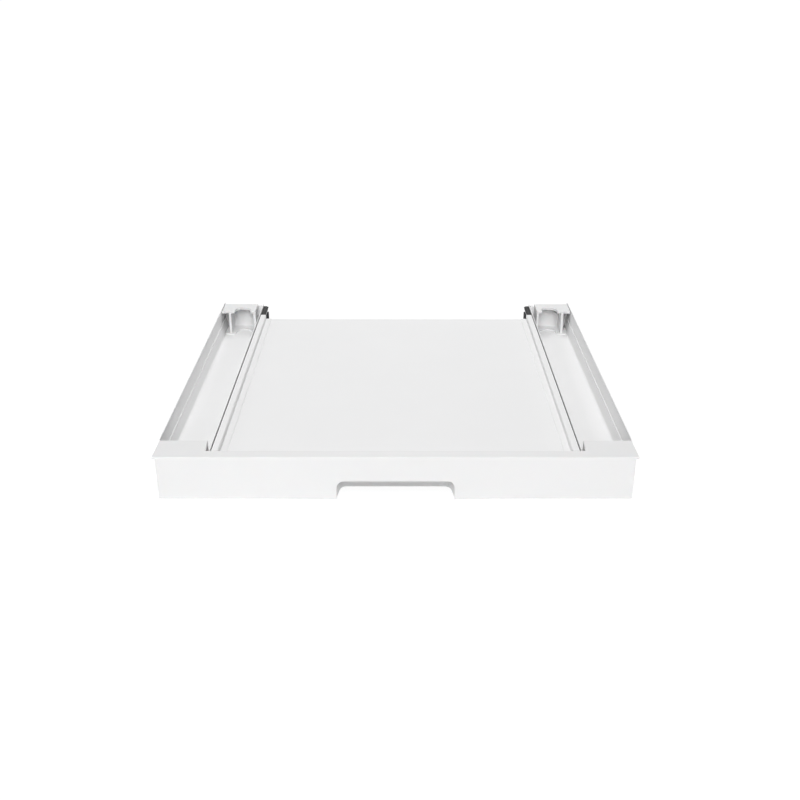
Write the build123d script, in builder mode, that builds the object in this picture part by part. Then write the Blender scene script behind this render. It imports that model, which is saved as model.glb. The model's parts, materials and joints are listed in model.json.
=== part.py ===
from build123d import *
import os

# Washer dryer stacking kit with a pull-out shelf.
# X runs to the right, Y from the front to the back, Z up. The origin is on the floor of the
# kit, in the middle of its footprint. Right-hand pieces are drawn and mirrored to the left.

# Overall size
kit_width = 600.0
kit_depth = 580.0
kit_height = 59.0

# Base frame
frame_sheet = 1.2
bend_radius = 2.0
frame_front = 24.0
skirt_foot = 14.0
skirt_front_drop = 4.0
skirt_corner_radius = 4.0
skirt_rear_flange_drop = 9.0
trough_floor = 17.5
trough_lip_height = 18.0
trough_lip_lean = 3.0
trough_lip_bend = 3.0
trough_wall_drop = 1.2
trough_inside_width = 66.7
trough_bend_radius = 3.0
trough_rear_gap = 9.0
trough_end_drop = 2.0
beam_width = 88.0
beam_flange = 16.0
beam_end_gap = 1.0
front_beam_inset = 17.0
rear_beam_inset = 2.0
pad_thickness = 2.0
pad_length = 68.0
pad_inset = 3.0
pad_corner = 6.0
washer_hole = 5.0
washer_hole_low = 14.0
washer_hole_spacing = 22.0

# Rear foot blocks
block_gap = 0.3
block_wall_gap = 8.6
block_depth = 38.5
block_plate = 3.5
block_wall = 2.5
block_rib = 3.6
block_rib_place = 12.8
block_side_wall = 3.5
block_base = 2.4
block_base_width = 19.5
block_base_reach = 3.0
block_lip_gap = 0.4
block_lip_chamfer = 3.0
block_edge = 0.6
arch_shoulder = 8.2
arch_mouth = 27.3
arch_lead = 8.5
arch_taper = 0.5
arch_depth = 19.5
block_screw_inset = 8.8
block_screw_spacing = 30.0
block_screw_rise = 30.0
block_boss = 8.0
block_boss_length = 9.0
block_screw_length = 9.0

# Telescopic slides
slide_front = 17.0
slide_rear_gap = 2.8
slide_height = 35.0
slide_thickness = 9.6
slide_top_gap = 2.0
slide_sheet = 1.0
slide_bend = 0.9
slide_step_bend = 0.6
outer_flange = 5.6
outer_step = 1.0
outer_lip = 2.8
outer_ball = 2.8
outer_ball_reach = 3.9
inner_ball = 2.4
inner_ball_reach = 7.1
ball_fit = 0.05
middle_web = 2.7
middle_flange = 5.2
middle_step = 1.3
middle_front_gap = 3.0
step_run = 0.7
inner_flange = 4.1
inner_front_gap = 1.6
cage_sheet = 0.5
cage_web_gap = 0.6
cage_edge = 0.7
cage_margin = 7.5
cage_ball_inset = 12.0
balls_in_row = 4
ball_facets = 8
bumper_length = 5.0
bumper_height = 15.0
bumper_gap = 1.0

# Shelf
shelf_sheet = 1.0
shelf_drop = 8.0
shelf_front = 14.0
shelf_rear_inset = 64.0
shelf_bend = 1.5
shelf_side_bend = 0.6
shelf_edge_width = 9.0
shelf_edge_rise = 1.0
shelf_edge_bend = 0.8
shelf_side_flange = 18.0
shelf_end_flange = 15.0
shelf_end_inset = 3.0
rail_front_gap = 0.4
rail_rear_inset = 1.5
rail_lip_gap = 2.1
rail_foot = 12.0
rail_foot_rise = 1.5
stiffener_height = 12.0
stiffener_width = 40.0
stiffener_flange = 12.0
stiffener_end_gap = 2.0
front_stiffener_share = 0.3
rear_stiffener_share = 0.7

# Front panel
lip_inset = 1.0
face_inset = 5.0
face_wall = 3.0
panel_wall = 2.5
panel_edge = 0.8
panel_corner_radius = 2.0
face_bottom = 1.5
face_chin = 0.4
chin_run = 130.0
band_depth = 18.0
corner_depth = 46.3
corner_gap = 5.7
corner_taper = 2.6
corner_clearance = 1.2
trough_clearance = 2.5
corner_cut_width = 5.0
corner_cut_rise = 8.0
corner_rib = 2.0
corner_rib_rise = 12.0
face_rib_depth = 4.0
face_rib_start = 93.4
face_rib_count = 3
handle_width = 146.8
handle_height = 24.0
handle_corner = 9.5
scoop_depth = 30.0
scoop_rise = 14.5
scoop_taper = 4.0
scoop_clearance = 2.5
boss_diameter = 8.0
boss_drop = 8.0
boss_spacing_inner = 220.0
boss_end_inset = 8.3

# Screws
screw_diameter = 3.6
screw_hole = 4.0
hole_facets = 8
screw_head = 7.0
screw_head_height = 1.8
screw_head_sides = 6
screw_tip_gap = 0.1
panel_screw_length = 9.0
slide_screw_inset = 45.0
shelf_screw_inset = 50.0
screws_in_row = 3

# Travel of the shelf from closed to fully out. The middle slides go half of it, the outer
# cages a quarter and the inner cages three quarters.
shelf_travel = 450.0

# Worked out from the sizes above: base frame
half_width = kit_width / 2
frame_rear = kit_depth - trough_rear_gap
skirt_face = half_width - frame_sheet
wall_outside = skirt_face - trough_inside_width
wall_inside = wall_outside - frame_sheet
wall_top = kit_height - trough_wall_drop
trough_under = trough_floor - frame_sheet
beam_half = half_width - skirt_foot - beam_end_gap
front_beam_middle = frame_front + front_beam_inset + beam_width / 2
rear_beam_middle = frame_rear - rear_beam_inset - beam_width / 2

# Worked out: rear foot blocks
block_outside = skirt_face - frame_sheet - block_gap
block_inside = wall_outside + block_wall_gap
block_rear = frame_rear - frame_sheet
block_front = block_rear - block_depth
block_top = kit_height - block_plate
block_middle = (block_inside + block_outside) / 2

# Worked out: slides
slide_top = kit_height - shelf_sheet - slide_top_gap
slide_middle = slide_top - slide_height / 2
slide_length = frame_rear - frame_sheet - slide_rear_gap - slide_front
slide_rear = slide_front + slide_length
outer_rise = (slide_height - slide_sheet) / 2
outer_ball_rise = outer_rise - slide_sheet / 2 - ball_fit - outer_ball / 2
middle_rise = outer_ball_rise - outer_ball / 2 - ball_fit - slide_sheet / 2
middle_tip_rise = middle_rise + middle_step
inner_ball_rise = middle_tip_rise - slide_sheet / 2 - ball_fit - inner_ball / 2
inner_rise = inner_ball_rise - inner_ball / 2 - ball_fit - slide_sheet / 2
inner_web = slide_thickness - slide_sheet / 2
tip_reach = outer_flange + outer_lip
middle_front = slide_front + middle_front_gap
middle_length = slide_length - middle_front_gap - bumper_length - bumper_gap

# Worked out: shelf
shelf_top = kit_height - shelf_drop
shelf_rear = kit_depth - shelf_rear_inset
rail_face = wall_inside - slide_thickness
rail_inside = rail_face - shelf_sheet
tray_inside = rail_inside - shelf_sheet
tray_step = rail_face - shelf_edge_width
tray_flat_half = tray_step - shelf_edge_rise - shelf_end_inset
rail_front = band_depth + rail_front_gap
rail_rear = shelf_rear - rail_rear_inset
rail_bottom = slide_top - slide_height + rail_foot_rise
inner_front = rail_front + inner_front_gap
inner_rear = rail_rear - inner_front_gap

# Worked out: ball cages, which stay between the members they run in over the whole travel
cage_front = middle_front + shelf_travel / 4 + cage_margin
cage_rear = inner_rear - shelf_travel / 4 - cage_margin

# Worked out: front panel
lip_half = half_width - lip_inset
face_half = half_width - face_inset
plate_under = kit_height - panel_wall
corner_inside = wall_outside + corner_gap
corner_rib_pitch = (face_half - corner_inside) / 3
panel_in_trough = trough_floor + trough_clearance
panel_before_trough = frame_front - corner_clearance
scoop_top = face_bottom + handle_height + scoop_rise
boss_height = shelf_top - boss_drop
boss_places = [
    side * place
    for side in (-1, 1)
    for place in (boss_spacing_inner / 2, tray_flat_half - boss_end_inset)
]

os.makedirs("parts", exist_ok=True)


def depth(distance):
    """Y of a place this far behind the front lip."""
    return distance - kit_depth / 2


def cross_section(distance):
    """Plane across the kit, drawn in X and Z, this far behind the front lip."""
    return Plane.XZ.offset(-depth(distance))


def side_section(place):
    """Plane along the kit, drawn in Y and Z, at this X."""
    return Plane.YZ.offset(place)


def level(height):
    """Flat plane at this height."""
    return Plane.XY.offset(height)


def finish(piece, name):
    """Name a finished piece and write it to its own file."""
    piece.label = name
    export_step(piece, f"parts/{name}.step")


def finish_pair(right_piece, name):
    """Write a right-hand piece and its mirror image on the left."""
    finish(right_piece, name + "_right")
    finish(mirror(right_piece, about=Plane.YZ), name + "_left")


def along_x(place, distance, height):
    """Spot whose own Z axis points along +X."""
    return Location((place, depth(distance), height), (0, 90, 0))


def along_y(place, distance, height):
    """Spot whose own Z axis points along -Y, to the front."""
    return Location((place, depth(distance), height), (90, 0, 0))


def spread(start, end, count):
    """Evenly spaced places from start to end."""
    return [start + (end - start) * i / (count - 1) for i in range(count)]


def drill(spots, diameter, length):
    """Screw holes along the Z axes of these spots, cut to both sides, in few facets."""
    for spot in spots:
        with BuildSketch(Plane(spot), mode=Mode.PRIVATE) as hole:
            RegularPolygon(diameter / 2, hole_facets)
        extrude(hole.sketch, amount=length / 2, both=True, mode=Mode.SUBTRACT)


# Length of a drilled hole that goes right through one sheet and stops before the next piece
through_sheet = 4 * frame_sheet


# Side skirt: the tall outer wall of the base, folded in at its foot and at its rear end
with BuildPart() as side_skirt:
    with BuildSketch(cross_section(frame_front)):
        with BuildLine():
            FilletPolyline(
                (half_width - skirt_foot, pad_thickness + frame_sheet / 2),
                (half_width - frame_sheet / 2, pad_thickness + frame_sheet / 2),
                (half_width - frame_sheet / 2, kit_height),
                radius=bend_radius,
            )
        trace(line_width=frame_sheet)
    extrude(amount=-(kit_depth - frame_front))
    with BuildSketch(level(pad_thickness)):
        with BuildLine():
            FilletPolyline(
                (half_width - frame_sheet / 2, depth(kit_depth - 2 * skirt_foot)),
                (half_width - frame_sheet / 2, depth(kit_depth) - frame_sheet / 2),
                (half_width - skirt_foot, depth(kit_depth) - frame_sheet / 2),
                radius=bend_radius,
            )
        trace(line_width=frame_sheet)
    extrude(amount=kit_height - skirt_rear_flange_drop - pad_thickness)
    with BuildSketch(side_section(0)) as skirt_outline:
        with BuildLine():
            Polyline(
                (depth(frame_front), 0),
                (depth(frame_front), kit_height - skirt_front_drop),
                (depth(corner_depth + corner_clearance), kit_height - skirt_front_drop),
                (depth(corner_depth + corner_clearance), kit_height),
                (depth(kit_depth), kit_height),
                (depth(kit_depth), 0),
                close=True,
            )
        make_face()
        rear_corner = skirt_outline.vertices().group_by(Axis.Y)[-1].sort_by(Axis.X)[-1]
        fillet(rear_corner, radius=skirt_corner_radius)
    extrude(amount=half_width, mode=Mode.INTERSECT)
    washer_holes = [
        along_y(half_width - skirt_foot / 2, kit_depth, height)
        for height in (washer_hole_low, washer_hole_low + washer_hole_spacing)
    ]
    with Locations(*washer_holes):
        Cylinder(washer_hole / 2, through_sheet, mode=Mode.SUBTRACT)
finish_pair(side_skirt.part, "side_skirt")

# Screws that hold each slide to its trough wall, and each foot block to the trough's rear end
slide_screw_places = spread(
    slide_front + slide_screw_inset, slide_rear - slide_screw_inset, screws_in_row
)
block_screw_height = trough_floor + block_screw_rise
block_screw_places = [block_inside + block_screw_inset + step for step in (0, block_screw_spacing)]
block_screw_spots = [
    along_y(place, frame_rear, block_screw_height) for place in block_screw_places
]

# Foot trough: the pan that the dryer's feet stand in, with the wall that carries the slide
lip_line = skirt_face - frame_sheet / 2
with BuildPart() as foot_trough:
    with BuildSketch(cross_section(frame_front)):
        with BuildLine():
            FilletPolyline(
                (wall_outside - frame_sheet / 2, wall_top),
                (wall_outside - frame_sheet / 2, trough_floor - frame_sheet / 2),
                (lip_line - trough_lip_lean, trough_floor - frame_sheet / 2),
                (lip_line, trough_floor + trough_lip_height),
                radius=[trough_bend_radius, trough_lip_bend],
            )
        trace(line_width=frame_sheet)
    extrude(amount=-(frame_rear - frame_front))
    with BuildSketch(cross_section(frame_rear)) as trough_end:
        with BuildLine():
            Polyline(
                (wall_inside, trough_under),
                (wall_inside, wall_top - trough_end_drop),
                (skirt_face, wall_top - trough_end_drop),
                (skirt_face, trough_under),
                close=True,
            )
        make_face()
        fillet(trough_end.vertices(), radius=trough_bend_radius)
    extrude(amount=frame_sheet)
    slide_holes = [along_x(wall_outside, place, slide_middle) for place in slide_screw_places]
    drill(slide_holes, screw_hole, through_sheet)
    drill(block_screw_spots, screw_hole, through_sheet)
finish_pair(foot_trough.part, "foot_trough")


# Floor beams: hat channels across the kit, under both troughs
def floor_beam(middle, name):
    foot = pad_thickness + frame_sheet / 2
    top = trough_under - frame_sheet / 2
    outer = beam_width / 2
    inner = beam_width / 2 - beam_flange
    with BuildPart() as beam:
        with BuildSketch(side_section(0)):
            with BuildLine():
                FilletPolyline(
                    (depth(middle - outer), foot),
                    (depth(middle - inner), foot),
                    (depth(middle - inner), top),
                    (depth(middle + inner), top),
                    (depth(middle + inner), foot),
                    (depth(middle + outer), foot),
                    radius=bend_radius,
                )
            trace(line_width=frame_sheet)
        extrude(amount=beam_half, both=True)
    finish(beam.part, name)


floor_beam(front_beam_middle, "front_beam")
floor_beam(rear_beam_middle, "rear_beam")


# Base pads: the soft pads that rest on the washer, under the ends of the beams
def base_pad(middle, name):
    with BuildPart() as pad:
        pad_middle = Plane((half_width - pad_inset - pad_length / 2, depth(middle), 0))
        with BuildSketch(pad_middle) as pad_plan:
            Rectangle(pad_length, beam_width)
            chamfer(pad_plan.vertices(), length=pad_corner)
        extrude(amount=pad_thickness)
    finish_pair(pad.part, name)


base_pad(front_beam_middle, "front_pad")
base_pad(rear_beam_middle, "rear_pad")

# Rear foot block: the moulding whose arch takes one rear foot of the dryer
arch_end = block_inside + arch_shoulder
arch_start = arch_end + arch_mouth
lip_clear = lip_line - trough_lip_lean - block_lip_gap


def block_outline():
    """The block seen from above, with the arch in its front."""
    arch = ThreePointArc(
        (arch_start - arch_taper, depth(block_front + arch_lead)),
        ((arch_start + arch_end) / 2, depth(block_front + arch_depth)),
        (arch_end + arch_taper, depth(block_front + arch_lead)),
    )
    Polyline(
        arch @ 1,
        (arch_end, depth(block_front)),
        (block_inside, depth(block_front)),
        (block_inside, depth(block_rear)),
        (block_outside, depth(block_rear)),
        (block_outside, depth(block_front)),
        (arch_start, depth(block_front)),
        arch @ 0,
    )


with BuildPart() as rear_foot_block:
    with BuildSketch(level(block_top)):
        with BuildLine():
            block_outline()
        make_face()
    extrude(amount=block_plate)
    plate_edges = rear_foot_block.faces().sort_by(Axis.Z)[-1].edges().filter_by(Axis.X)
    fillet(plate_edges, radius=block_edge)
    with BuildSketch(level(trough_floor)):
        with BuildLine():
            block_outline()
        make_face()
        with Locations((block_outside, depth(block_front - block_base_reach))):
            Rectangle(block_base_width, block_depth, align=(Align.MAX, Align.MIN))
    extrude(amount=block_base)
    with BuildSketch(level(trough_floor)):
        for place, thickness in (
            (block_inside + block_side_wall / 2, block_side_wall),
            (block_outside - block_rib_place, block_rib),
        ):
            with Locations((place, depth(block_rear))):
                Rectangle(thickness, block_depth, align=(Align.CENTER, Align.MAX))
        with Locations((block_middle, depth(block_rear))):
            Rectangle(block_outside - block_inside, block_wall, align=(Align.CENTER, Align.MAX))
    extrude(amount=block_top - trough_floor)
    with BuildSketch(cross_section(block_front - block_base_reach)):
        with BuildLine():
            Polyline(
                (block_outside, trough_floor + trough_lip_height),
                (block_outside, trough_floor),
                (lip_clear - block_lip_chamfer, trough_floor),
                (lip_clear, trough_floor + block_lip_chamfer),
                close=True,
            )
        make_face()
    extrude(amount=-(block_depth + block_base_reach), mode=Mode.SUBTRACT)
    for place in block_screw_places:
        with BuildSketch(cross_section(block_rear)):
            with Locations((place, block_screw_height)):
                RegularPolygon(block_boss / 2, hole_facets)
        extrude(amount=block_boss_length)
    drill(block_screw_spots, screw_hole, 2 * (frame_sheet + block_boss_length))
finish_pair(rear_foot_block.part, "rear_foot_block")


# Telescopic slides: three nested steel channels with two rows of balls between each pair
def slide_point(reach, rise):
    """X and Z of a point on the right slide, from its wall and its middle line."""
    return (wall_inside - reach, slide_middle + rise)


def slide_channel(half_path, bends, front, length, sheet):
    """Channel folded along a path that is the same above and below the middle line."""
    lower = [slide_point(reach, -rise) for reach, rise in half_path]
    upper = [slide_point(reach, rise) for reach, rise in reversed(half_path)]
    with BuildPart() as channel:
        with BuildSketch(cross_section(front)):
            with BuildLine():
                if bends:
                    FilletPolyline(*lower, *upper, radius=bends + bends[::-1])
                else:
                    Polyline(*lower, *upper)
            trace(line_width=sheet)
        extrude(amount=-length)
    return channel.part


outer_path = [
    (tip_reach, outer_rise - outer_step),
    (outer_flange + step_run, outer_rise - outer_step),
    (outer_flange, outer_rise),
    (slide_sheet / 2, outer_rise),
]
middle_path = [
    (tip_reach, middle_tip_rise),
    (middle_flange + step_run, middle_tip_rise),
    (middle_flange, middle_rise),
    (middle_web, middle_rise),
]
inner_path = [
    (inner_web - inner_flange, inner_rise),
    (inner_web, inner_rise),
]
stepped_bends = [slide_step_bend, slide_step_bend, slide_bend]

with BuildPart() as slide_outer:
    add(slide_channel(outer_path, stepped_bends, slide_front, slide_length, slide_sheet))
    drill(slide_holes, screw_hole, through_sheet)
finish_pair(slide_outer.part, "slide_outer")

with BuildPart() as slide_middle_member:
    add(slide_channel(middle_path, stepped_bends, middle_front, middle_length, slide_sheet))
finish_pair(slide_middle_member.part, "slide_middle")

shelf_screw_places = spread(
    inner_front + shelf_screw_inset, inner_rear - shelf_screw_inset, screws_in_row
)
shelf_holes = [along_x(rail_face, place, slide_middle) for place in shelf_screw_places]
with BuildPart() as slide_inner:
    add(
        slide_channel(
            inner_path, [slide_bend], inner_front, inner_rear - inner_front, slide_sheet
        )
    )
    drill(shelf_holes, screw_hole, through_sheet)
finish_pair(slide_inner.part, "slide_inner")

# Ball cages: thin strips that keep the balls apart, and the balls in their rows
outer_cage_web = (slide_sheet + middle_web - slide_sheet / 2) / 2
outer_cage_path = [
    (outer_ball_reach + outer_ball / 2 - ball_fit, outer_ball_rise),
    (outer_cage_web, outer_ball_rise),
]
inner_cage_web = middle_web + slide_sheet / 2 + cage_web_gap + cage_sheet / 2
inner_cage_drop = inner_ball_rise - middle_step / 2
inner_cage_path = [
    (inner_ball_reach + inner_ball / 2 + cage_edge, inner_ball_rise),
    (inner_ball_reach - inner_ball / 2 + cage_sheet / 2, inner_ball_rise),
    (inner_ball_reach - inner_ball + step_run, inner_cage_drop),
    (inner_cage_web, inner_cage_drop),
]


def ball_places(reach, rise):
    """Middle of every ball of one cage, in its upper and its lower row."""
    row = spread(cage_front + cage_ball_inset, cage_rear - cage_ball_inset, balls_in_row)
    return [
        (wall_inside - reach, depth(distance), slide_middle + side * rise)
        for side in (-1, 1)
        for distance in row
    ]


def ball_cage(path, ball, places, name):
    with BuildPart() as cage:
        add(slide_channel(path, [], cage_front, cage_rear - cage_front, cage_sheet))
        with Locations(*places):
            Box(*[ball + 2 * ball_fit] * 3, mode=Mode.SUBTRACT)
    finish_pair(cage.part, name)


def faceted_ball(ball):
    """Small ball in flat facets: three crossed eight-sided bars, as wide as the ball."""
    with BuildPart() as one_ball:
        for plane, how in (
            (Plane.XY, Mode.ADD),
            (Plane.YZ, Mode.INTERSECT),
            (Plane.ZX, Mode.INTERSECT),
        ):
            with BuildSketch(plane, mode=Mode.PRIVATE) as bar_end:
                RegularPolygon(ball / 2, ball_facets, rotation=180 / ball_facets)
            extrude(bar_end.sketch, amount=ball, both=True, mode=how)
    return one_ball.part


def ball_rows(ball, places, name):
    with BuildPart() as balls:
        with Locations(*places):
            add(faceted_ball(ball))
    finish_pair(balls.part, name)


outer_ball_places = ball_places(outer_ball_reach, outer_ball_rise)
inner_ball_places = ball_places(inner_ball_reach, inner_ball_rise)
ball_cage(outer_cage_path, outer_ball, outer_ball_places, "outer_ball_cage")
ball_cage(inner_cage_path, inner_ball, inner_ball_places, "inner_ball_cage")
ball_rows(outer_ball, outer_ball_places, "outer_balls")
ball_rows(inner_ball, inner_ball_places, "inner_balls")

# Slide bumper: the soft stop at the rear end of each outer channel
with BuildPart() as slide_bumper:
    with BuildSketch(level(slide_middle - bumper_height / 2)) as bumper_plan:
        with Locations(
            (
                wall_inside - (slide_sheet + tip_reach) / 2,
                depth(slide_rear - bumper_length / 2),
            )
        ):
            Rectangle(tip_reach - slide_sheet, bumper_length)
        chamfer(bumper_plan.vertices().group_by(Axis.Y)[0], length=bumper_length / 3)
    extrude(amount=bumper_height)
finish_pair(slide_bumper.part, "slide_bumper")

# Shelf tray: one folded sheet with a raised edge along both sides and flanges all round
tray_line = shelf_top - shelf_sheet / 2
edge_line = tray_line + shelf_edge_rise
tray_side_line = tray_inside + shelf_sheet / 2
flange_bottom = edge_line - shelf_side_flange
tray_half = [
    (tray_side_line, flange_bottom),
    (tray_side_line, edge_line),
    (tray_step, edge_line),
    (tray_step - shelf_edge_rise, tray_line),
]
end_fold = 3 * shelf_bend
with BuildPart() as shelf_tray:
    with BuildSketch(cross_section(shelf_front + shelf_bend)):
        with BuildLine():
            FilletPolyline(
                *[(-x, z) for x, z in tray_half],
                *tray_half[::-1],
                radius=[shelf_side_bend] + [shelf_edge_bend] * 4 + [shelf_side_bend],
            )
        trace(line_width=shelf_sheet)
    extrude(amount=-(shelf_rear - shelf_front - 2 * shelf_bend))
    for edge, inward in ((shelf_front, 1), (shelf_rear, -1)):
        with BuildSketch(side_section(0)):
            with BuildLine():
                FilletPolyline(
                    (depth(edge) + inward * shelf_sheet / 2, tray_line - shelf_end_flange),
                    (depth(edge) + inward * shelf_sheet / 2, tray_line),
                    (depth(edge) + inward * end_fold, tray_line),
                    radius=shelf_bend,
                )
            trace(line_width=shelf_sheet)
        extrude(amount=tray_flat_half, both=True)
    with Locations((0, depth(shelf_front), tray_line - shelf_bend)):
        Box(
            handle_width + 2 * (panel_wall + scoop_clearance),
            end_fold,
            shelf_end_flange,
            align=(Align.CENTER, Align.CENTER, Align.MAX),
            mode=Mode.SUBTRACT,
        )
    panel_holes = [along_y(place, shelf_front, boss_height) for place in boss_places]
    drill(panel_holes, screw_hole, through_sheet)
    for side in (-1, 1):
        tray_holes = [
            along_x(side * tray_side_line, place, slide_middle) for place in shelf_screw_places
        ]
        drill(tray_holes, screw_hole, through_sheet)
finish(shelf_tray.part, "shelf_tray")

# Shelf rail: the side of the shelf, with a lip over the slide and a foot turned inward
with BuildPart() as shelf_rail:
    with BuildSketch(cross_section(rail_front)):
        with BuildLine():
            FilletPolyline(
                (wall_inside - rail_lip_gap, kit_height - shelf_sheet / 2),
                (rail_face - shelf_sheet / 2, kit_height - shelf_sheet / 2),
                (rail_face - shelf_sheet / 2, rail_bottom + shelf_sheet / 2),
                (rail_face - rail_foot, rail_bottom + shelf_sheet / 2),
                radius=shelf_edge_bend,
            )
        trace(line_width=shelf_sheet)
    extrude(amount=-(rail_rear - rail_front))
    drill(shelf_holes, screw_hole, through_sheet)
finish_pair(shelf_rail.part, "shelf_rail")


# Shelf stiffeners: hat channels under the tray
def shelf_stiffener(share, name):
    middle = shelf_front + (shelf_rear - shelf_front) * share
    top = shelf_top - shelf_sheet - shelf_sheet / 2
    bottom = top - stiffener_height
    inner = stiffener_width / 2
    outer = inner + stiffener_flange
    with BuildPart() as stiffener:
        with BuildSketch(side_section(0)):
            with BuildLine():
                Polyline(
                    (depth(middle - outer), top),
                    (depth(middle - inner), top),
                    (depth(middle - inner), bottom),
                    (depth(middle + inner), bottom),
                    (depth(middle + inner), top),
                    (depth(middle + outer), top),
                )
            trace(line_width=shelf_sheet)
        extrude(amount=tray_step - shelf_edge_rise - stiffener_end_gap, both=True)
    finish(stiffener.part, name)


shelf_stiffener(front_stiffener_share, "front_stiffener")
shelf_stiffener(rear_stiffener_share, "rear_stiffener")

# Front panel: one moulding with its face, its top plate, corner boxes and handle scoop
with BuildPart() as front_panel:
    with BuildSketch(level(plate_under)) as plate_plan:
        with BuildLine():
            Polyline(
                (-lip_half, depth(0)),
                (lip_half, depth(0)),
                (lip_half, depth(corner_depth)),
                (corner_inside, depth(corner_depth)),
                (corner_inside - corner_taper, depth(band_depth)),
                (-corner_inside + corner_taper, depth(band_depth)),
                (-corner_inside, depth(corner_depth)),
                (-lip_half, depth(corner_depth)),
                close=True,
            )
        make_face()
        fillet(plate_plan.vertices().group_by(Axis.Y)[0], radius=panel_corner_radius)
    extrude(amount=panel_wall)
    chamfer(front_panel.faces().sort_by(Axis.Z)[-1].edges(), length=panel_edge)
    with BuildSketch(cross_section(0)):
        with BuildLine():
            Line((-face_half, face_bottom), (-handle_width / 2 - chin_run, face_bottom))
            TangentArc(
                (-handle_width / 2 - chin_run, face_bottom),
                (-handle_width / 2, face_chin),
                tangent=(1, 0),
            )
            Line((-handle_width / 2, face_chin), (handle_width / 2, face_chin))
            TangentArc(
                (handle_width / 2 + chin_run, face_bottom),
                (handle_width / 2, face_chin),
                tangent=(-1, 0),
            )
            Line((handle_width / 2 + chin_run, face_bottom), (face_half, face_bottom))
            Polyline(
                (face_half, face_bottom),
                (face_half, plate_under),
                (-face_half, plate_under),
                (-face_half, face_bottom),
            )
        make_face()
    extrude(amount=-face_wall)
    for side in (-1, 1):
        for outside, wall, rise, rear_rise in (
            (face_half, panel_wall, 0, corner_cut_rise),
            (corner_inside + panel_wall, panel_wall, 0, 0),
            (corner_inside + corner_rib_pitch, corner_rib, corner_rib_rise, corner_rib_rise),
            (face_half - corner_rib_pitch, corner_rib, corner_rib_rise, corner_rib_rise),
        ):
            low = panel_in_trough + rear_rise
            with BuildSketch(side_section(side * (outside - wall / 2))):
                with BuildLine():
                    Polyline(
                        (depth(0) + face_wall / 2, face_bottom + rise),
                        (depth(panel_before_trough), face_bottom + rise),
                        (depth(panel_before_trough), low),
                        (depth(corner_depth), low),
                        (depth(corner_depth), plate_under),
                        (depth(0) + face_wall / 2, plate_under),
                        close=True,
                    )
                make_face()
            extrude(amount=wall / 2, both=True)
        with BuildSketch(cross_section(corner_depth)):
            with BuildLine():
                Polyline(
                    (side * corner_inside, panel_in_trough),
                    (side * (face_half - corner_cut_width), panel_in_trough),
                    (side * face_half, panel_in_trough + corner_cut_rise),
                    (side * face_half, plate_under),
                    (side * corner_inside, plate_under),
                    close=True,
                )
            make_face()
        extrude(amount=panel_wall)
    with BuildSketch(level(shelf_top)):
        with BuildLine():
            Line(
                (-tray_flat_half, depth(band_depth) - panel_wall / 2),
                (tray_flat_half, depth(band_depth) - panel_wall / 2),
            )
        trace(line_width=panel_wall)
    extrude(amount=plate_under - shelf_top)
    for place in spread(face_rib_start, tray_flat_half, face_rib_count):
        for side in (-1, 1):
            with BuildSketch(level(face_bottom + corner_rib)):
                with Locations((side * place, depth(face_wall / 2 + face_rib_depth / 2))):
                    Rectangle(corner_rib, face_rib_depth)
            extrude(amount=plate_under - face_bottom - corner_rib)
    with BuildSketch(cross_section(shelf_front)):
        with Locations(*[(place, boss_height) for place in boss_places]):
            RegularPolygon(boss_diameter / 2, hole_facets)
    extrude(amount=shelf_front - face_wall)
    with BuildSketch(level(face_bottom)) as scoop_outside:
        with BuildLine():
            Polyline(
                (-handle_width / 2 - panel_wall, depth(face_wall / 2)),
                (handle_width / 2 + panel_wall, depth(face_wall / 2)),
                (handle_width / 2 + panel_wall - scoop_taper, depth(scoop_depth + panel_wall)),
                (-handle_width / 2 - panel_wall + scoop_taper, depth(scoop_depth + panel_wall)),
                close=True,
            )
        make_face()
        fillet(
            scoop_outside.vertices().group_by(Axis.Y)[-1],
            radius=handle_corner + panel_wall,
        )
    extrude(amount=scoop_top + panel_wall - face_bottom)
    with BuildSketch(level(0)) as scoop_inside:
        with BuildLine():
            Polyline(
                (-handle_width / 2, depth(face_wall)),
                (handle_width / 2, depth(face_wall)),
                (handle_width / 2 - scoop_taper, depth(scoop_depth)),
                (-handle_width / 2 + scoop_taper, depth(scoop_depth)),
                close=True,
            )
        make_face()
        fillet(scoop_inside.vertices().group_by(Axis.Y)[-1], radius=handle_corner)
    extrude(amount=scoop_top, mode=Mode.SUBTRACT)
    with BuildSketch(cross_section(0)) as handle_notch:
        with BuildLine():
            Polyline(
                (-handle_width / 2, 0),
                (handle_width / 2, 0),
                (handle_width / 2, face_bottom + handle_height),
                (-handle_width / 2, face_bottom + handle_height),
                close=True,
            )
        make_face()
        fillet(handle_notch.vertices().group_by(Axis.Y)[-1], radius=handle_corner)
    extrude(amount=-face_wall, mode=Mode.SUBTRACT)
    drill(panel_holes, screw_hole, 2 * panel_screw_length)
finish(front_panel.part, "front_panel")


# Screws: hexagon heads, each group of equal screws in one file
def hexagon_screw(length):
    """Screw with the underside of its head at the origin and its shank along +Z."""
    with BuildPart() as screw:
        with BuildSketch():
            RegularPolygon(screw_head / 2, screw_head_sides)
        extrude(amount=-screw_head_height)
        with BuildSketch():
            RegularPolygon(screw_diameter / 2, hole_facets)
        extrude(amount=length)
    return screw.part


def screw_group(places, length):
    with BuildPart() as group:
        with Locations(*places):
            add(hexagon_screw(length))
    return group.part


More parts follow.
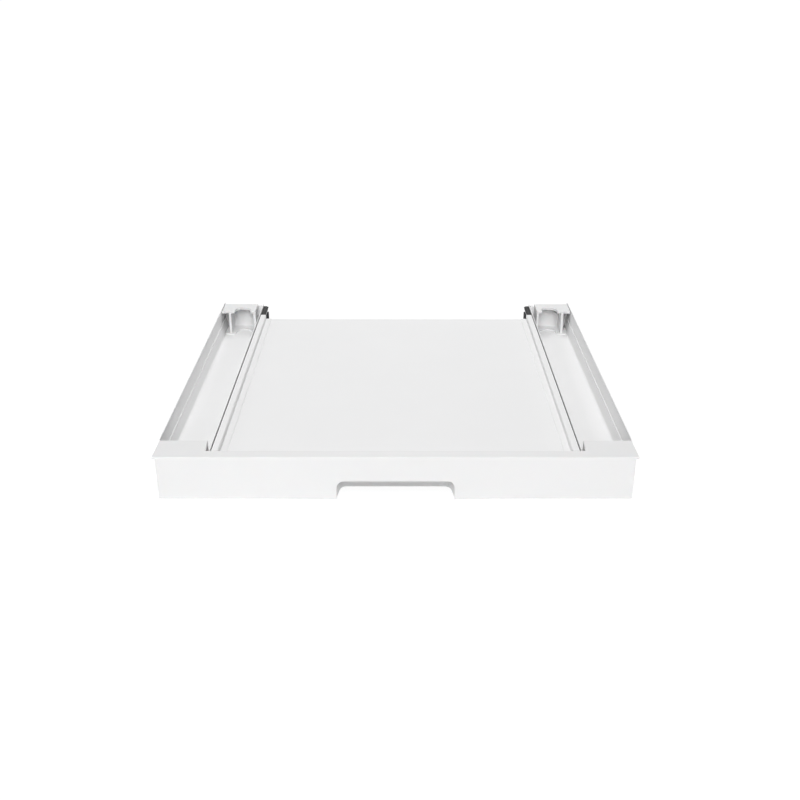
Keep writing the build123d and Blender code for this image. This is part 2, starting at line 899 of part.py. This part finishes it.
slide_screw_length = frame_sheet + slide_sheet - screw_tip_gap
finish_pair(
    screw_group(
        [
            Location((wall_outside, depth(place), slide_middle), (0, -90, 0))
            for place in slide_screw_places
        ],
        slide_screw_length,
    ),
    "slide_screws",
)
shelf_screw_length = 2 * shelf_sheet + slide_sheet - screw_tip_gap
finish_pair(
    screw_group(
        [along_x(tray_inside, place, slide_middle) for place in shelf_screw_places],
        shelf_screw_length,
    ),
    "shelf_screws",
)
finish_pair(screw_group(block_screw_spots, block_screw_length), "block_screws")
finish(
    screw_group(
        [along_y(place, shelf_front + shelf_sheet, boss_height) for place in boss_places],
        panel_screw_length,
    ),
    "panel_screws",
)
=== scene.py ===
"""Finish, lighting and small parts of a washer dryer stacking kit with a pull-out shelf."""
import json
import math

import bmesh
import bpy
from mathutils import Matrix, Vector

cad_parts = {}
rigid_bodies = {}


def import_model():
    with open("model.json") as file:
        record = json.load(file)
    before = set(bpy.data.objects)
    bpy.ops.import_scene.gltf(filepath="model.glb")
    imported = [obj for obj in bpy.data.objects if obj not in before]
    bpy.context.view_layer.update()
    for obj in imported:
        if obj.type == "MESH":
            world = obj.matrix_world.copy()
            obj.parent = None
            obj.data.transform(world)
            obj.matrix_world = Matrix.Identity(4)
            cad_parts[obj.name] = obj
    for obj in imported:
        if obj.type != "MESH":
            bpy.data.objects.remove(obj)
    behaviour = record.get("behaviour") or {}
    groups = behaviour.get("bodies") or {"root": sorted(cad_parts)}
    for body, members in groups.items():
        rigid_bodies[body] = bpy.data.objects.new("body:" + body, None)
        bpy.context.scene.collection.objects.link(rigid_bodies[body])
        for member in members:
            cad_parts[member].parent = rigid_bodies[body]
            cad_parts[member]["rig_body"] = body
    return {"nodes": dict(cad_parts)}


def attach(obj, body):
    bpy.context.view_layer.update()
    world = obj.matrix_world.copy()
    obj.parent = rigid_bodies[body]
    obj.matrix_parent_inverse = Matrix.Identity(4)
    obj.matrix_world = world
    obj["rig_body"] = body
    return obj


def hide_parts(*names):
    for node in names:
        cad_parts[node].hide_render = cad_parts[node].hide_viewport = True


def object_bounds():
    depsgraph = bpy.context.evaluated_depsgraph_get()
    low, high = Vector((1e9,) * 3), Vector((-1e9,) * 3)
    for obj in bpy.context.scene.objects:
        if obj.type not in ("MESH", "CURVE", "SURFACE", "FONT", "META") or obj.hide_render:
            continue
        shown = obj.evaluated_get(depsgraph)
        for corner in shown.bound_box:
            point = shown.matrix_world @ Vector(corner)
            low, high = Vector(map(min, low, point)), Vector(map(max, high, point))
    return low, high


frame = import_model()
cad_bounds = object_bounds()
nodes = frame["nodes"]
SIDES = ("left", "right")

MM = 0.001


def both(name):
    """The names of a pair of nodes."""
    return [f"{name}_{side}" for side in SIDES]


# Colours, as they look in plain light; only the skirts' paint is lighter than the white paint, as
# painted light in place of side light that the lamps don't give
WHITE_PAINT = (0.835, 0.835, 0.837)
SKIRT_PAINT_WITH_PAINTED_LIGHT = (0.88, 0.88, 0.882)
WHITE_PLASTIC = (0.755, 0.755, 0.757)
SLIDE_BLACK = (0.006, 0.006, 0.0065)
ZINC = (0.55, 0.56, 0.575)
BALL_STEEL = (0.72, 0.72, 0.73)
SCREW_ZINC = (0.66, 0.67, 0.68)
PAD_RUBBER = (0.035, 0.035, 0.038)


class Finish:
    """A material built from nodes, on the object's own coordinates in metres."""

    def __init__(self, name):
        self.material = bpy.data.materials.new(name)
        self.material.use_nodes = True
        self.tree = self.material.node_tree
        self.shader = self.tree.nodes["Principled BSDF"]
        self.place = self.tree.nodes.new("ShaderNodeTexCoord").outputs["Object"]

    def link(self, source, target):
        self.tree.links.new(source, target)

    def stretched(self, stretch):
        """The object's coordinates, scaled by a different amount along each axis."""
        mapping = self.tree.nodes.new("ShaderNodeMapping")
        mapping.inputs["Scale"].default_value = stretch
        self.link(self.place, mapping.inputs["Vector"])
        return mapping.outputs["Vector"]

    def noise(self, size, detail=2.0, stretch=None):
        """Soft noise whose blotches are about this size in metres."""
        node = self.tree.nodes.new("ShaderNodeTexNoise")
        node.inputs["Scale"].default_value = 1.0 / size
        node.inputs["Detail"].default_value = detail
        self.link(self.stretched(stretch) if stretch else self.place, node.inputs["Vector"])
        return node.outputs["Fac"]

    def cells(self, size):
        """Distance to the middle of small cells of this size in metres."""
        node = self.tree.nodes.new("ShaderNodeTexVoronoi")
        node.inputs["Scale"].default_value = 1.0 / size
        self.link(self.place, node.inputs["Vector"])
        return node.outputs["Distance"]

    def between(self, value, low, high):
        """A value from 0 to 1 mapped to a range."""
        node = self.tree.nodes.new("ShaderNodeMapRange")
        node.inputs["To Min"].default_value = low
        node.inputs["To Max"].default_value = high
        self.link(value, node.inputs["Value"])
        return node.outputs["Result"]

    def colour(self, value, first, second):
        """A colour between two, by a value from 0 to 1."""
        node = self.tree.nodes.new("ShaderNodeMix")
        node.data_type = "RGBA"
        node.inputs["A"].default_value = (*first, 1.0)
        node.inputs["B"].default_value = (*second, 1.0)
        self.link(value, node.inputs["Factor"])
        return node.outputs["Result"]

    def added(self, first, second):
        node = self.tree.nodes.new("ShaderNodeMath")
        node.operation = "ADD"
        self.link(first, node.inputs[0])
        self.link(second, node.inputs[1])
        return node.outputs["Value"]

    def bump(self, height, depth, strength=1.0):
        """Relief of this depth in metres."""
        node = self.tree.nodes.new("ShaderNodeBump")
        node.inputs["Strength"].default_value = strength
        node.inputs["Distance"].default_value = depth
        self.link(height, node.inputs["Height"])
        self.link(node.outputs["Normal"], self.shader.inputs["Normal"])

    def set(self, **values):
        for socket, value in values.items():
            self.shader.inputs[socket.replace("_", " ")].default_value = value


def scaled(colour, amount):
    return tuple(min(1.0, part * amount) for part in colour)


def powder_coat(name, colour):
    """Baked powder paint: faint orange peel, a few fine specks and a satin sheen."""
    finish = Finish(name)
    cloud = finish.noise(70 * MM, detail=3.0)
    peel = finish.noise(1.1 * MM, detail=1.5)
    grain = finish.noise(0.25 * MM, detail=2.0)
    shade = finish.between(cloud, 0.0, 1.0)
    finish.link(
        finish.colour(shade, scaled(colour, 0.985), scaled(colour, 1.01)),
        finish.shader.inputs["Base Color"],
    )
    finish.link(
        finish.between(finish.added(peel, cloud), 0.54, 0.66),
        finish.shader.inputs["Roughness"],
    )
    finish.bump(finish.added(peel, grain), 0.012 * MM, strength=0.5)
    finish.set(Specular_IOR_Level=0.2)
    return finish.material


def moulded_plastic(name, colour):
    """Injection moulded plastic: fine spark texture and slightly uneven gloss."""
    finish = Finish(name)
    cloud = finish.noise(45 * MM, detail=2.0)
    spark = finish.cells(0.32 * MM)
    flow = finish.noise(9 * MM, detail=1.0)
    finish.link(
        finish.colour(cloud, scaled(colour, 0.988), scaled(colour, 1.008)),
        finish.shader.inputs["Base Color"],
    )
    finish.link(
        finish.between(finish.added(flow, spark), 0.42, 0.52),
        finish.shader.inputs["Roughness"],
    )
    finish.bump(spark, 0.010 * MM, strength=0.45)
    finish.set(Subsurface_Weight=0.03, Subsurface_Scale=1.0 * MM)
    return finish.material


def black_steel(name):
    """Black coated steel strip with faint drawing lines along its length."""
    finish = Finish(name)
    lines = finish.noise(0.5 * MM, detail=2.0, stretch=(1.0, 0.02, 1.0))
    smear = finish.noise(14 * MM, detail=3.0)
    finish.link(
        finish.colour(smear, SLIDE_BLACK, scaled(SLIDE_BLACK, 1.9)),
        finish.shader.inputs["Base Color"],
    )
    finish.link(finish.between(smear, 0.48, 0.66), finish.shader.inputs["Roughness"])
    finish.bump(lines, 0.010 * MM, strength=0.4)
    finish.set(Specular_IOR_Level=0.2)
    return finish.material


def zinc_steel(name, colour, low=0.26, high=0.42):
    """Zinc plated strip: metal with lines along the rolling direction and soft blotches."""
    finish = Finish(name)
    lines = finish.noise(0.35 * MM, detail=3.0, stretch=(1.0, 0.015, 1.0))
    blotch = finish.noise(6 * MM, detail=3.0)
    finish.link(
        finish.colour(blotch, scaled(colour, 0.88), scaled(colour, 1.08)),
        finish.shader.inputs["Base Color"],
    )
    finish.link(
        finish.between(finish.added(lines, blotch), low, high),
        finish.shader.inputs["Roughness"],
    )
    finish.bump(lines, 0.008 * MM, strength=0.5)
    finish.set(Metallic=1.0)
    return finish.material


def bearing_steel(name):
    """Polished balls with a trace of grease."""
    finish = Finish(name)
    grease = finish.noise(1.5 * MM, detail=2.0)
    finish.link(
        finish.colour(grease, scaled(BALL_STEEL, 0.85), BALL_STEEL),
        finish.shader.inputs["Base Color"],
    )
    finish.link(finish.between(grease, 0.08, 0.22), finish.shader.inputs["Roughness"])
    finish.set(Metallic=1.0)
    return finish.material


def soft_rubber(name):
    """Matt rubber with an open, pimpled skin."""
    finish = Finish(name)
    pimple = finish.cells(1.2 * MM)
    dust = finish.noise(8 * MM, detail=4.0)
    finish.link(
        finish.colour(dust, PAD_RUBBER, scaled(PAD_RUBBER, 1.8)),
        finish.shader.inputs["Base Color"],
    )
    finish.link(finish.between(dust, 0.72, 0.9), finish.shader.inputs["Roughness"])
    finish.bump(pimple, 0.08 * MM, strength=0.6)
    return finish.material


finishes = {
    "paint": powder_coat("white_powder_coat", WHITE_PAINT),
    # the skirts' powder coat is a lighter copy of the white one: painted light standing in for
    # missing side light
    "skirt_paint_with_painted_light": powder_coat("skirt_powder_coat_painted_light", SKIRT_PAINT_WITH_PAINTED_LIGHT),
    "plastic": moulded_plastic("white_moulded_plastic", WHITE_PLASTIC),
    "black": black_steel("black_slide_steel"),
    "zinc": zinc_steel("zinc_slide_steel", ZINC),
    "cage": zinc_steel("ball_cage_steel", scaled(ZINC, 0.9), 0.34, 0.5),
    "balls": bearing_steel("bearing_steel"),
    "screws": zinc_steel("screw_steel", SCREW_ZINC, 0.22, 0.36),
    "rubber": soft_rubber("pad_rubber"),
}

node_finish = {
    "paint": both("foot_trough")
    + both("shelf_rail")
    + ["front_beam", "rear_beam", "shelf_tray", "front_stiffener", "rear_stiffener"],
    # the skirts take the lighter copy of the paint, with painted side light
    "skirt_paint_with_painted_light": both("side_skirt"),
    "plastic": both("rear_foot_block") + ["front_panel"],
    "black": both("slide_outer"),
    "zinc": both("slide_middle") + both("slide_inner"),
    "cage": both("outer_ball_cage") + both("inner_ball_cage"),
    "rubber": both("front_pad") + both("rear_pad") + both("slide_bumper"),
}


def paint(piece, material):
    piece.data.materials.clear()
    piece.data.materials.append(material)


for finish_name, names in node_finish.items():
    for name in names:
        paint(nodes[name], finishes[finish_name])


# Points of a node's mesh closer than this are one point
SAME_POINT = 0.002 * MM


def islands(name):
    """Lowest and highest corner of each separate solid of a node."""
    shape = bmesh.new()
    shape.from_mesh(nodes[name].data)
    bmesh.ops.remove_doubles(shape, verts=shape.verts, dist=SAME_POINT)
    left = set(shape.verts)
    found = []
    while left:
        group = [left.pop()]
        for vert in group:
            for edge in vert.link_edges:
                other = edge.other_vert(vert)
                if other in left:
                    left.remove(other)
                    group.append(other)
        low = Vector([min(vert.co[axis] for vert in group) for axis in range(3)])
        high = Vector([max(vert.co[axis] for vert in group) for axis in range(3)])
        found.append((low, high))
    shape.free()
    return sorted(found, key=lambda corners: tuple(corners[0]))


def stand_in(name, mesh, material):
    """A piece in place of a CAD node, on the node's own body and with its material slot."""
    piece = bpy.data.objects.new(name + "_dressed", mesh)
    bpy.context.scene.collection.objects.link(piece)
    paint(piece, material)
    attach(piece, nodes[name]["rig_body"])
    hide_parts(name)


def smooth(mesh):
    for face in mesh.polygons:
        face.use_smooth = True


# Sides of the frame's faceted balls, and how finely the round ones are divided
CAD_BALL_SIDES = 8
BALL_SUBDIVISIONS = 3


def make_balls(name):
    """Round balls where the node has faceted ones."""
    shape = bmesh.new()
    for low, high in islands(name):
        radius = max(high - low) / 2 / math.cos(math.pi / CAD_BALL_SIDES)
        place = Matrix.Translation((low + high) / 2)
        bmesh.ops.create_icosphere(
            shape, subdivisions=BALL_SUBDIVISIONS, radius=radius, matrix=place
        )
    mesh = bpy.data.meshes.new(name + "_dressed")
    shape.to_mesh(mesh)
    shape.free()
    smooth(mesh)
    stand_in(name, mesh, finishes["balls"])


for name in both("outer_balls") + both("inner_balls"):
    make_balls(name)


# Screws: flanged hexagon heads with a cross slot and a thread, in the places of the plain ones
HEAD_ACROSS = 5.5 * MM
FLANGE_RADIUS = 3.4 * MM
FLANGE_HEIGHT = 0.55 * MM
FLANGE_UNDERCUT = 0.2 * MM
FLANGE_EDGE_START = 0.15 * MM
FLANGE_EDGE_END = 0.3 * MM
FLANGE_SLOPE = 0.35 * MM
HEAD_SINK = 0.1 * MM
HEAD_CHAMFER = 0.45 * MM
SLOT_WIDTH = 1.0 * MM
SLOT_LENGTH = 4.0 * MM
SLOT_DEPTH = 1.0 * MM
THREAD_PITCH = 1.1 * MM
THREAD_DEPTH = 0.28 * MM
TIP_SHARE = 0.6
ROUND_STEPS = 48
SHANK_STEPS = 24
HEAD_SIDES = 6


def ring(shape, radius, height, turns=ROUND_STEPS):
    """Verts on a circle round Z."""
    step = 2 * math.pi / turns
    return [
        shape.verts.new((radius * math.cos(i * step), radius * math.sin(i * step), height))
        for i in range(turns)
    ]


def skin(shape, rings):
    """Faces between rings of equal count, with both ends closed."""
    for lower, upper in zip(rings, rings[1:]):
        for i in range(len(lower)):
            j = (i + 1) % len(lower)
            shape.faces.new((lower[i], lower[j], upper[j], upper[i]))
    shape.faces.new(rings[0][::-1])
    shape.faces.new(rings[-1])


def screw_mesh(head_height, shank_radius, shank_length):
    """A screw with the underside of its head at the origin and its shank along +Z."""
    shape = bmesh.new()
    skin(
        shape,
        [
            ring(shape, FLANGE_RADIUS - FLANGE_UNDERCUT, 0.0),
            ring(shape, FLANGE_RADIUS, -FLANGE_EDGE_START),
            ring(shape, FLANGE_RADIUS, -FLANGE_EDGE_END),
            ring(shape, FLANGE_RADIUS - FLANGE_SLOPE, -FLANGE_HEIGHT),
        ][::-1],
    )
    corner = HEAD_ACROSS / 2 / math.cos(math.pi / HEAD_SIDES)
    skin(
        shape,
        [
            ring(shape, corner, HEAD_SINK - FLANGE_HEIGHT, HEAD_SIDES),
            ring(shape, corner, -head_height + HEAD_CHAMFER, HEAD_SIDES),
            ring(shape, corner - HEAD_CHAMFER, -head_height, HEAD_SIDES),
        ][::-1],
    )
    rings = [ring(shape, shank_radius, 0.0, SHANK_STEPS)]
    height = THREAD_PITCH / 2
    while height < shank_length - THREAD_PITCH:
        rings.append(ring(shape, shank_radius - THREAD_DEPTH, height, SHANK_STEPS))
        rings.append(ring(shape, shank_radius, height + THREAD_PITCH / 2, SHANK_STEPS))
        height += THREAD_PITCH
    rings.append(ring(shape, shank_radius * TIP_SHARE, shank_length, SHANK_STEPS))
    skin(shape, rings)
    mesh = bpy.data.meshes.new("screw")
    shape.to_mesh(mesh)
    shape.free()
    return mesh


def cut_slots(mesh, head_height):
    """Cut a cross slot into the top of a screw's head."""
    screw = bpy.data.objects.new("screw", mesh)
    bpy.context.scene.collection.objects.link(screw)
    for length, width in ((SLOT_LENGTH, SLOT_WIDTH), (SLOT_WIDTH, SLOT_LENGTH)):
        shape = bmesh.new()
        bmesh.ops.create_cube(shape, size=1.0)
        bmesh.ops.scale(shape, vec=(length, width, 2 * SLOT_DEPTH), verts=shape.verts)
        bmesh.ops.translate(shape, vec=(0, 0, -head_height), verts=shape.verts)
        cutter_mesh = bpy.data.meshes.new("slot")
        shape.to_mesh(cutter_mesh)
        shape.free()
        cutter = bpy.data.objects.new("slot", cutter_mesh)
        bpy.context.scene.collection.objects.link(cutter)
        cut = screw.modifiers.new("slot", "BOOLEAN")
        cut.object = cutter
        cut.solver = "EXACT"
        cut.use_self = True
        depsgraph = bpy.context.evaluated_depsgraph_get()
        cut_mesh = bpy.data.meshes.new_from_object(screw.evaluated_get(depsgraph))
        screw.modifiers.clear()
        screw.data = cut_mesh
        bpy.data.objects.remove(cutter)
    finished = screw.data
    bpy.data.objects.remove(screw)
    return finished


# Direction in which each screw's shank points
SHANK_WAY = {
    "slide_screws_right": (-1, 0, 0),
    "slide_screws_left": (1, 0, 0),
    "shelf_screws_right": (1, 0, 0),
    "shelf_screws_left": (-1, 0, 0),
    "block_screws_right": (0, -1, 0),
    "block_screws_left": (0, -1, 0),
    "panel_screws": (0, -1, 0),
}
CAD_HEAD_HEIGHT = 1.8 * MM
SHANK_RADIUS = 1.75 * MM
FIRST_TURN = 0.7
TURN_STEP = 1.9


def make_screws(name, way):
    """Detailed screws where the node has plain ones, each turned a little differently."""
    way = Vector(way)
    axis = max(range(3), key=lambda i: abs(way[i]))
    whole = bmesh.new()
    for count, (low, high) in enumerate(islands(name)):
        reach = high[axis] - low[axis]
        length = reach - CAD_HEAD_HEIGHT
        seat = (low + high) / 2
        head_end = low[axis] if way[axis] > 0 else high[axis]
        seat[axis] = head_end + way[axis] * CAD_HEAD_HEIGHT
        mesh = cut_slots(screw_mesh(CAD_HEAD_HEIGHT, SHANK_RADIUS, length), CAD_HEAD_HEIGHT)
        turn = Matrix.Rotation(FIRST_TURN + TURN_STEP * count, 4, "Z")
        aim = Vector((0, 0, 1)).rotation_difference(way).to_matrix().to_4x4()
        mesh.transform(Matrix.Translation(seat) @ aim @ turn)
        whole.from_mesh(mesh)
        bpy.data.meshes.remove(mesh)
    mesh = bpy.data.meshes.new(name + "_dressed")
    whole.to_mesh(mesh)
    whole.free()
    stand_in(name, mesh, finishes["screws"])


for name, way in SHANK_WAY.items():
    make_screws(name, way)


# What the camera sees glows more from the first distance to the second, where the lamps fade.
FLOOR_SIZE = 30.0
FLOOR_GREY = 0.80
FLOOR_BOUNCE = 0.21
SEEN_FLOOR_GREY = 0.16
NEAR_GLOW = 0.88
FAR_GLOW = 1.04
GLOW_FROM = 0.6
GLOW_TO = 2.0


def seen_directly(tree):
    """1 for what the camera sees, also in a reflection or through glass, and 0 for other light."""
    path = tree.nodes.new("ShaderNodeLightPath")
    total = path.outputs["Is Camera Ray"]
    for kind in ("Is Glossy Ray", "Is Transmission Ray"):
        step = tree.nodes.new("ShaderNodeMath")
        step.operation = "MAXIMUM"
        tree.links.new(total, step.inputs[0])
        tree.links.new(path.outputs[kind], step.inputs[1])
        total = step.outputs["Value"]
    return total


def lit_layer(tree, grey):
    """A matt grey surface with a glow: the socket of their sum, and that of the glow's strength."""
    matt = tree.nodes.new("ShaderNodeBsdfDiffuse")
    matt.inputs["Color"].default_value = (grey, grey, grey, 1)
    glow = tree.nodes.new("ShaderNodeEmission")
    total = tree.nodes.new("ShaderNodeAddShader")
    tree.links.new(matt.outputs[0], total.inputs[0])
    tree.links.new(glow.outputs[0], total.inputs[1])
    return total.outputs[0], glow.inputs["Strength"]


def make_floor():
    mesh = bpy.data.meshes.new("floor")
    half = FLOOR_SIZE / 2
    corners = [(-half, -half, 0), (half, -half, 0), (half, half, 0), (-half, half, 0)]
    mesh.from_pydata(corners, [], [(0, 1, 2, 3)])
    floor = bpy.data.objects.new("floor", mesh)
    bpy.context.scene.collection.objects.link(floor)
    material = bpy.data.materials.new("pale_floor")
    material.use_nodes = True
    tree = material.node_tree
    tree.nodes.clear()
    place = tree.nodes.new("ShaderNodeTexCoord")
    distance = tree.nodes.new("ShaderNodeVectorMath")
    distance.operation = "LENGTH"
    spread = tree.nodes.new("ShaderNodeMapRange")
    spread.inputs["From Min"].default_value = GLOW_FROM
    spread.inputs["From Max"].default_value = GLOW_TO
    spread.inputs["To Min"].default_value = NEAR_GLOW
    spread.inputs["To Max"].default_value = FAR_GLOW
    tree.links.new(place.outputs["Object"], distance.inputs[0])
    tree.links.new(distance.outputs["Value"], spread.inputs["Value"])
    for_bounces, bounce_glow = lit_layer(tree, FLOOR_GREY)
    bounce_glow.default_value = FLOOR_BOUNCE
    for_camera, camera_glow = lit_layer(tree, SEEN_FLOOR_GREY)
    tree.links.new(spread.outputs["Result"], camera_glow)
    choose = tree.nodes.new("ShaderNodeMixShader")
    output = tree.nodes.new("ShaderNodeOutputMaterial")
    tree.links.new(seen_directly(tree), choose.inputs[0])
    tree.links.new(for_bounces, choose.inputs[1])
    tree.links.new(for_camera, choose.inputs[2])
    tree.links.new(choose.outputs[0], output.inputs["Surface"])
    mesh.materials.append(material)


make_floor()

# Light: place, size and power of one large softbox above the front and weaker ones round it
LIGHTS = {
    "key": ((0.0, -3.25, 3.6), 2.5, 141.0),
    "front": ((0.0, -3.6, 2.0), 1.8, 38.0),
    "front_left": ((-1.9, -3.6, 3.0), 0.9, 16.0),
    "top": ((0.0, 0.8, 1.3), 0.8, 6.5),
    "left": ((-2.3, -0.5, 1.2), 1.4, 16.5),
    "right_rear": ((1.8, 1.0, 1.2), 1.0, 9.5),
    "back": ((0.0, 2.4, 0.7), 1.0, 3.0),
}


def make_room():
    """Surroundings that are white where they are seen and give no light of their own."""
    world = bpy.data.worlds.new("room")
    world.use_nodes = True
    bpy.context.scene.world = world
    tree = world.node_tree
    tree.nodes.clear()
    white = tree.nodes.new("ShaderNodeBackground")
    white.inputs["Color"].default_value = (1, 1, 1, 1)
    output = tree.nodes.new("ShaderNodeOutputWorld")
    tree.links.new(seen_directly(tree), white.inputs["Strength"])
    tree.links.new(white.outputs[0], output.inputs["Surface"])


def make_light(name, place, size, power):
    data = bpy.data.lights.new(name, "AREA")
    data.shape = "SQUARE"
    data.size = size
    data.energy = power
    lamp = bpy.data.objects.new(name, data)
    bpy.context.scene.collection.objects.link(lamp)
    lamp.location = place
    lamp.rotation_euler = (-Vector(place)).to_track_quat("-Z", "Y").to_euler()


make_room()
for name, (place, size, power) in LIGHTS.items():
    make_light(name, place, size, power)

# Camera at the photograph's place and angle, in degrees
CAMERA_PLACE = (2.7 * MM, cad_bounds[0][1] - 1078.7 * MM, 631.4 * MM)
CAMERA_PITCH = 24.65
CAMERA_TURN = -0.14
CAMERA_ROLL = 0.08
FOCAL_LENGTH = 44.83
SENSOR_WIDTH = 36.0


def make_camera():
    data = bpy.data.cameras.new("camera")
    data.lens = FOCAL_LENGTH
    data.sensor_width = SENSOR_WIDTH
    camera = bpy.data.objects.new("camera", data)
    bpy.context.scene.collection.objects.link(camera)
    aim = Matrix.Rotation(math.radians(CAMERA_TURN), 4, "Z")
    aim @= Matrix.Rotation(math.radians(90 - CAMERA_PITCH), 4, "X")
    aim @= Matrix.Rotation(math.radians(CAMERA_ROLL), 4, "Z")
    camera.matrix_world = Matrix.Translation(CAMERA_PLACE) @ aim
    bpy.context.scene.camera = camera


make_camera()
bpy.context.scene.view_settings.view_transform = "Standard"
